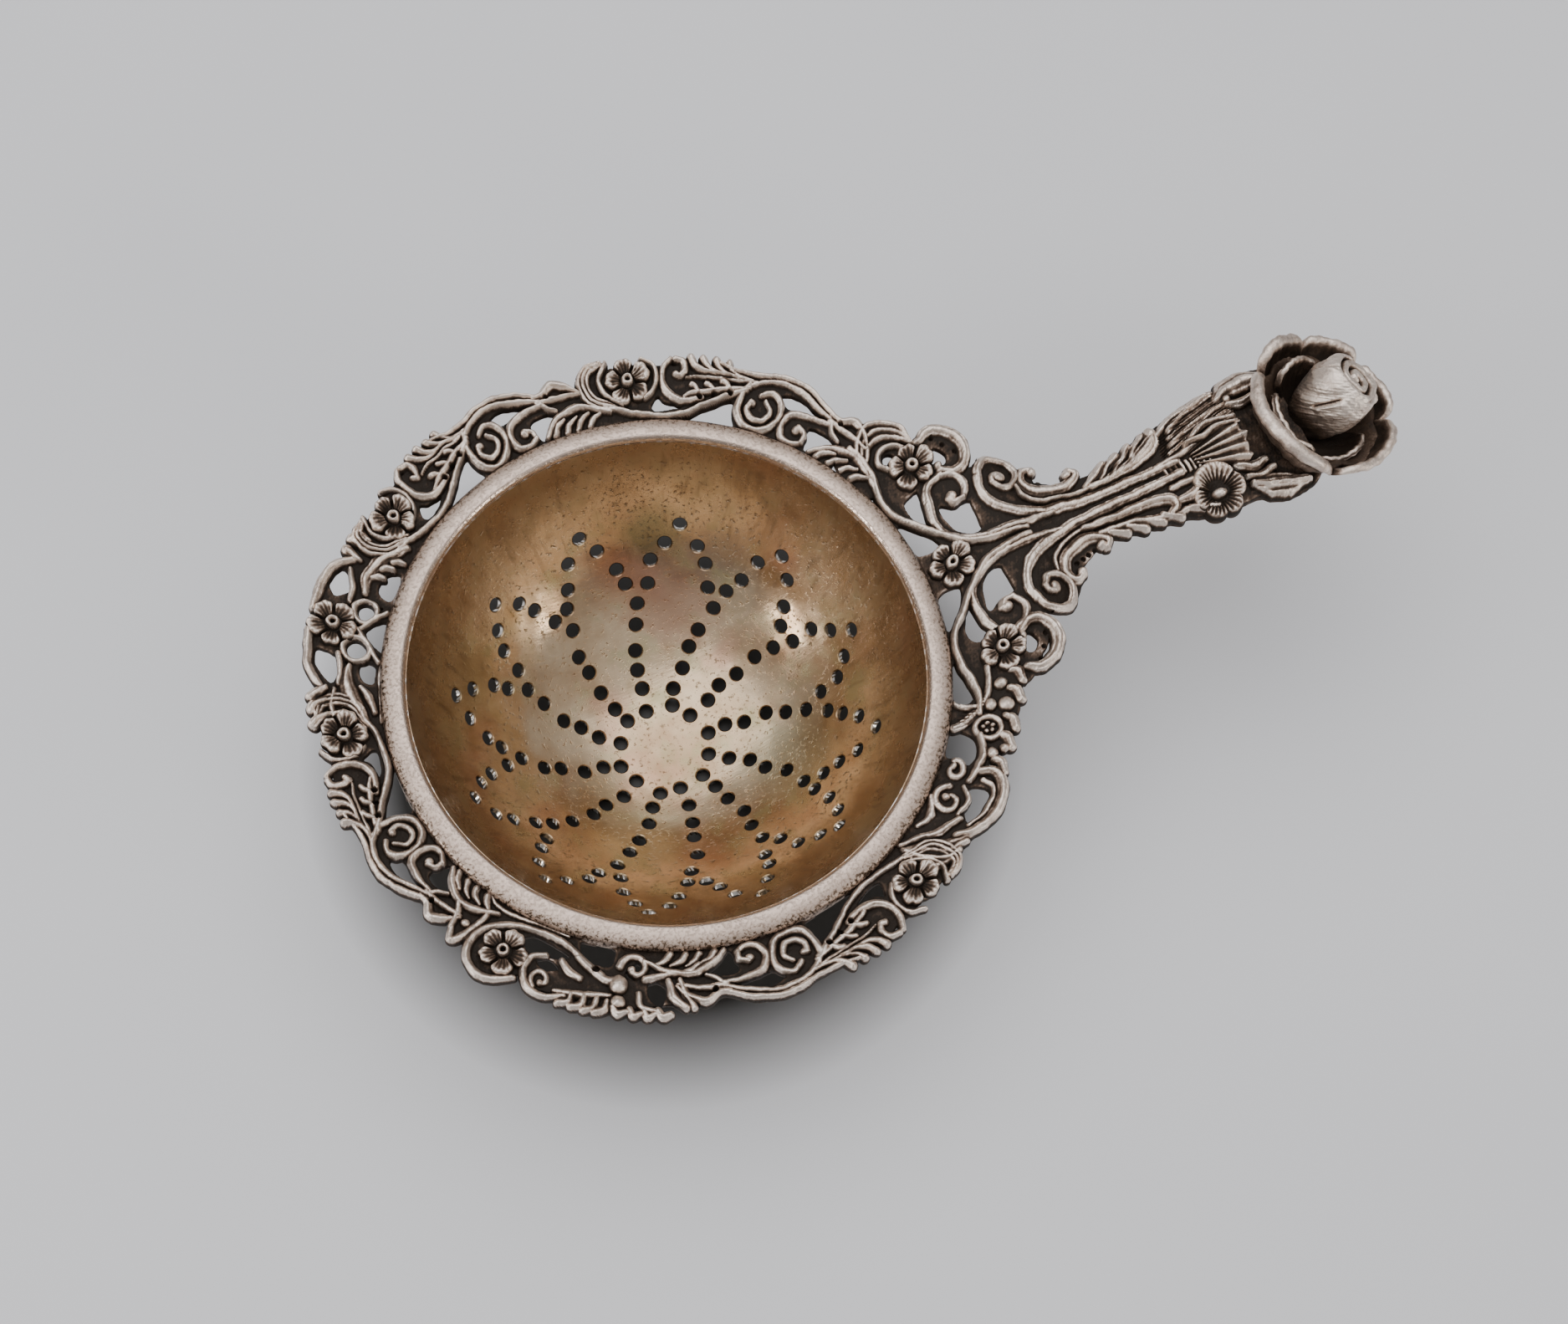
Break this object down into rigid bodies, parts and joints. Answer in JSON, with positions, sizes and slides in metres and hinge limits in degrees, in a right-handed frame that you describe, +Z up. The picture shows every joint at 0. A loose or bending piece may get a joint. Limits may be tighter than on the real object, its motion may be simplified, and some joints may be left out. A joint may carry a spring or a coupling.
{
  "type": "tea strainer",
  "caption": "Silver tea strainer: pierced bowl in a plain band with a dished openwork border of scrolls and florets, and a flat cast handle ending in a rose.",
  "frame": {"origin": "centre of the flat seat under the rim band, on the axis of the bowl", "axes": "+Z up out of the bowl's mouth, +X along the handle, +Y to its left"},
  "size_m": [0.1277, 0.0763, 0.0361],
  "materials": {
    "gilt": "worn gilding over silver, stained and scratched inside",
    "silver_band": "brushed silver, pitted at the outer edge, polished lip",
    "silver_cast": "cast silver with dark oxidised recesses and bright worn ridges"
  },
  "bodies": {
    "root": {"strainer_bowl": "gilt", "rim_band": "silver_band", "border_far_right": "silver_cast", "border_far": "silver_cast", "border_crest": "silver_cast", "border_left": "silver_cast", "border_near_left": "silver_cast", "border_near": "silver_cast", "border_near_right": "silver_cast", "handle_root": "silver_cast", "handle_scrolls": "silver_cast", "handle_leaves": "silver_cast", "handle_poppy": "silver_cast", "handle_shell": "silver_cast", "floret_far_right": "silver_cast", "floret_far": "silver_cast", "floret_crest": "silver_cast", "floret_left": "silver_cast", "floret_near_left": "silver_cast", "floret_near": "silver_cast", "floret_root_near": "silver_cast", "floret_root_far": "silver_cast", "floret_axis": "silver_cast", "rose_sepals": "silver_cast", "rose_outer_petals": "silver_cast", "rose_inner_petals": "silver_cast", "rose_bud": "silver_cast"}
  },
  "joints": []
}
